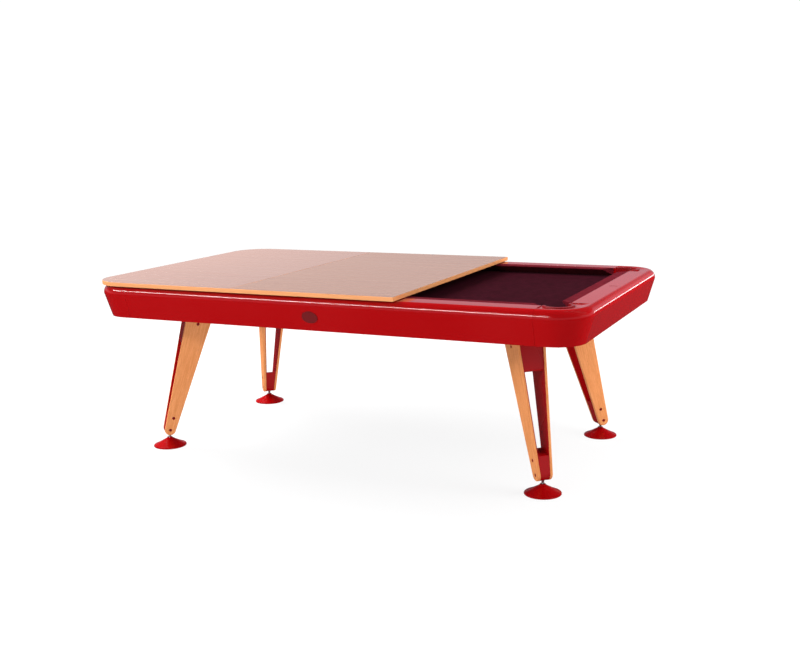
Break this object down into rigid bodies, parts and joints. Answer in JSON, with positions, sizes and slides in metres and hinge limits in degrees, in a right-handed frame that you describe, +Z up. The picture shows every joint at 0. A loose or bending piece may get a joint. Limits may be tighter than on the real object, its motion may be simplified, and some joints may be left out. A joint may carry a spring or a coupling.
{
  "type": "pool table",
  "caption": "Rectangular pool table with rounded corners, splayed forked legs on cone feet, cloth bed, pockets and lift-off wooden top boards.",
  "frame": {"origin": "on the floor, under the middle of the bed", "axes": "+X along the table, +Y across it, +Z up"},
  "size_m": [2.264, 1.314, 0.797],
  "materials": {
    "red_enamel": "gloss powder-coat enamel",
    "bolt_enamel": "gloss enamel on the screw heads",
    "pocket_plastic": "gloss moulded plastic",
    "dining_board_wood": "pale matt-lacquered wood grain",
    "leg_wood": "satin-lacquered warm wood",
    "bed_cloth": "napped wool-nylon table cloth",
    "cushion_cloth": "rubber nose under the same table cloth",
    "slate": "honed slate",
    "frame_steel": "black paint",
    "zinc_steel": "zinc plate",
    "badge_enamel": "dark enamel"
  },
  "bodies": {
    "table": {"slate_bed": "slate", "bed_cloth": "bed_cloth", "cushion_front_left": "cushion_cloth", "cushion_front_right": "cushion_cloth", "cushion_back_left": "cushion_cloth", "cushion_back_right": "cushion_cloth", "cushion_end_left": "cushion_cloth", "cushion_end_right": "cushion_cloth", "pocket_front_left": "pocket_plastic", "pocket_front_middle": "pocket_plastic", "pocket_front_right": "pocket_plastic", "pocket_back_left": "pocket_plastic", "pocket_back_middle": "pocket_plastic", "pocket_back_right": "pocket_plastic", "rail_front": "red_enamel", "rail_right": "red_enamel", "rail_back": "red_enamel", "rail_left": "red_enamel", "rail_corner_front_left": "red_enamel", "rail_corner_front_right": "red_enamel", "rail_corner_back_right": "red_enamel", "rail_corner_back_left": "red_enamel", "frame_beam_front": "frame_steel", "frame_beam_back": "frame_steel", "frame_cross_beam": "frame_steel", "badge": "badge_enamel", "leg_core_front_left": "red_enamel", "leg_board_left_front_left": "leg_wood", "leg_board_right_front_left": "leg_wood", "leg_bolt_upper_front_left": "bolt_enamel", "leg_bolt_lower_front_left": "bolt_enamel", "leg_bolt_end_front_left": "bolt_enamel", "leg_core_front_right": "red_enamel", "leg_board_left_front_right": "leg_wood", "leg_board_right_front_right": "leg_wood", "leg_bolt_upper_front_right": "bolt_enamel", "leg_bolt_lower_front_right": "bolt_enamel", "leg_bolt_end_front_right": "bolt_enamel", "leg_core_back_right": "red_enamel", "leg_board_left_back_right": "leg_wood", "leg_board_right_back_right": "leg_wood", "leg_bolt_upper_back_right": "bolt_enamel", "leg_bolt_lower_back_right": "bolt_enamel", "leg_bolt_end_back_right": "bolt_enamel", "leg_core_back_left": "red_enamel", "leg_board_left_back_left": "leg_wood", "leg_board_right_back_left": "leg_wood", "leg_bolt_upper_back_left": "bolt_enamel", "leg_bolt_lower_back_left": "bolt_enamel", "leg_bolt_end_back_left": "bolt_enamel"},
    "dining_board_left": {"dining_board_left": "dining_board_wood"},
    "dining_board_middle": {"dining_board_middle": "dining_board_wood"},
    "foot_stem_front_left": {"foot_stem_front_left": "zinc_steel"},
    "foot_disc_front_left": {"foot_disc_front_left": "red_enamel"},
    "foot_stem_front_right": {"foot_stem_front_right": "zinc_steel"},
    "foot_disc_front_right": {"foot_disc_front_right": "red_enamel"},
    "foot_stem_back_right": {"foot_stem_back_right": "zinc_steel"},
    "foot_disc_back_right": {"foot_disc_back_right": "red_enamel"},
    "foot_stem_back_left": {"foot_stem_back_left": "zinc_steel"},
    "foot_disc_back_left": {"foot_disc_back_left": "red_enamel"}
  },
  "joints": [
    {"name": "dining_board_left_lift", "type": "slide", "parent": "table", "child": "dining_board_left", "axis": [0, 0, 1], "range_m": [0, 0.3]},
    {"name": "dining_board_middle_lift", "type": "slide", "parent": "table", "child": "dining_board_middle", "axis": [0, 0, 1], "range_m": [0, 0.3]},
    {"name": "foot_front_left_screw", "type": "slide", "parent": "table", "child": "foot_stem_front_left", "axis": [0, 0, -1], "range_m": [0, 0.012]},
    {"name": "foot_front_left_swivel", "type": "hinge", "parent": "foot_stem_front_left", "child": "foot_disc_front_left", "pos_m": [-0.909, -0.436, 0.02], "axis": [0, 0, 1], "continuous": true},
    {"name": "foot_front_right_screw", "type": "slide", "parent": "table", "child": "foot_stem_front_right", "axis": [0, 0, -1], "range_m": [0, 0.012]},
    {"name": "foot_front_right_swivel", "type": "hinge", "parent": "foot_stem_front_right", "child": "foot_disc_front_right", "pos_m": [0.909, -0.436, 0.02], "axis": [0, 0, 1], "continuous": true},
    {"name": "foot_back_right_screw", "type": "slide", "parent": "table", "child": "foot_stem_back_right", "axis": [0, 0, -1], "range_m": [0, 0.012]},
    {"name": "foot_back_right_swivel", "type": "hinge", "parent": "foot_stem_back_right", "child": "foot_disc_back_right", "pos_m": [0.909, 0.436, 0.02], "axis": [0, 0, 1], "continuous": true},
    {"name": "foot_back_left_screw", "type": "slide", "parent": "table", "child": "foot_stem_back_left", "axis": [0, 0, -1], "range_m": [0, 0.012]},
    {"name": "foot_back_left_swivel", "type": "hinge", "parent": "foot_stem_back_left", "child": "foot_disc_back_left", "pos_m": [-0.909, 0.436, 0.02], "axis": [0, 0, 1], "continuous": true}
  ]
}
